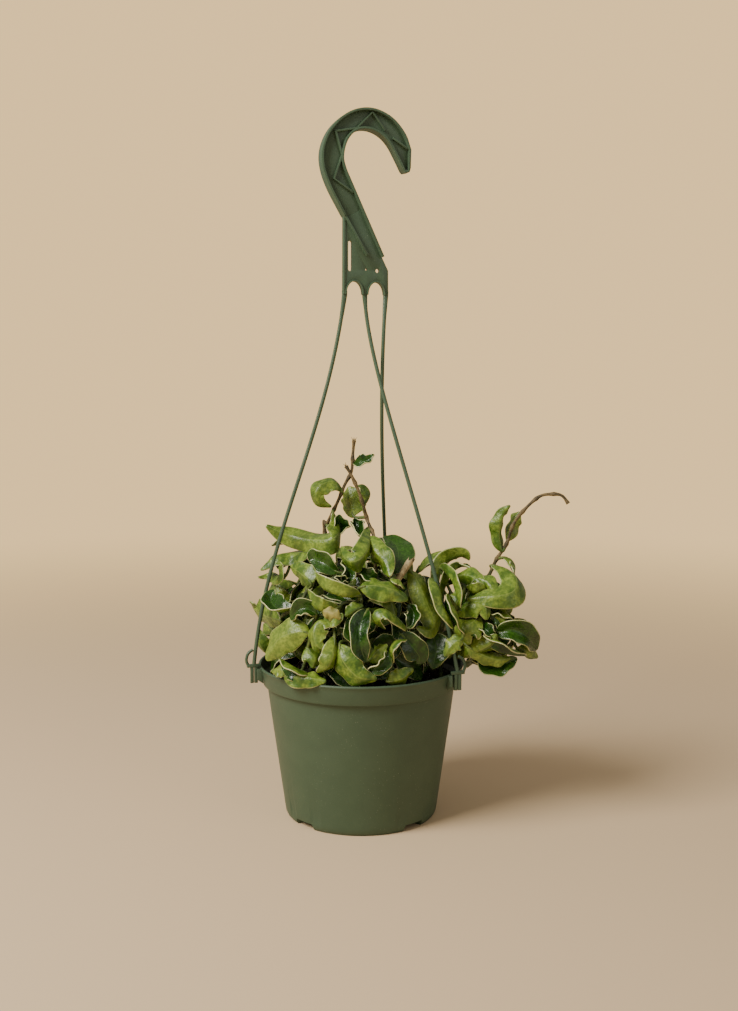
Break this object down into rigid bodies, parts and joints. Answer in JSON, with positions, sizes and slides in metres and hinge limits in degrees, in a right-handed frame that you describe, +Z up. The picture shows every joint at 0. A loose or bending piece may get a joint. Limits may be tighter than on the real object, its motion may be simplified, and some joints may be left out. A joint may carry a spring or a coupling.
{
  "type": "potted plant",
  "caption": "Hindu rope hoya with thick curled leaves in a round plastic hanging pot, with a flat moulded hook hanger on thin wires; it stands on a surface or hangs.",
  "frame": {"origin": "on the pot's axis, at the surface that the pot stands on", "axes": "+Z up along the pot's axis to the hook, -Y towards the viewer, +X to the viewer's right"},
  "size_m": [0.2409, 0.1634, 0.5227],
  "materials": {
    "pot_plastic": "matte",
    "hanger_plastic": "satin",
    "soil": "matte",
    "foliage": "satin"
  },
  "bodies": {
    "root": {"pot": "pot_plastic", "soil": "soil", "hanger_hook": "hanger_plastic", "hanger_wire_left": "hanger_plastic", "hanger_wire_right": "hanger_plastic", "hanger_wire_back": "hanger_plastic", "vine_back": "foliage", "vine_back_left": "foliage", "vine_back_right": "foliage", "vine_centre": "foliage", "vine_far_left": "foliage", "vine_front_centre": "foliage", "vine_front_left": "foliage", "vine_front_right": "foliage", "vine_inner": "foliage", "vine_left": "foliage", "vine_right_lower": "foliage", "vine_right_of_centre": "foliage", "vine_right_upper": "foliage", "vine_side_left": "foliage", "vine_side_right": "foliage", "vine_top_left": "foliage", "vine_top_right": "foliage"}
  },
  "joints": []
}
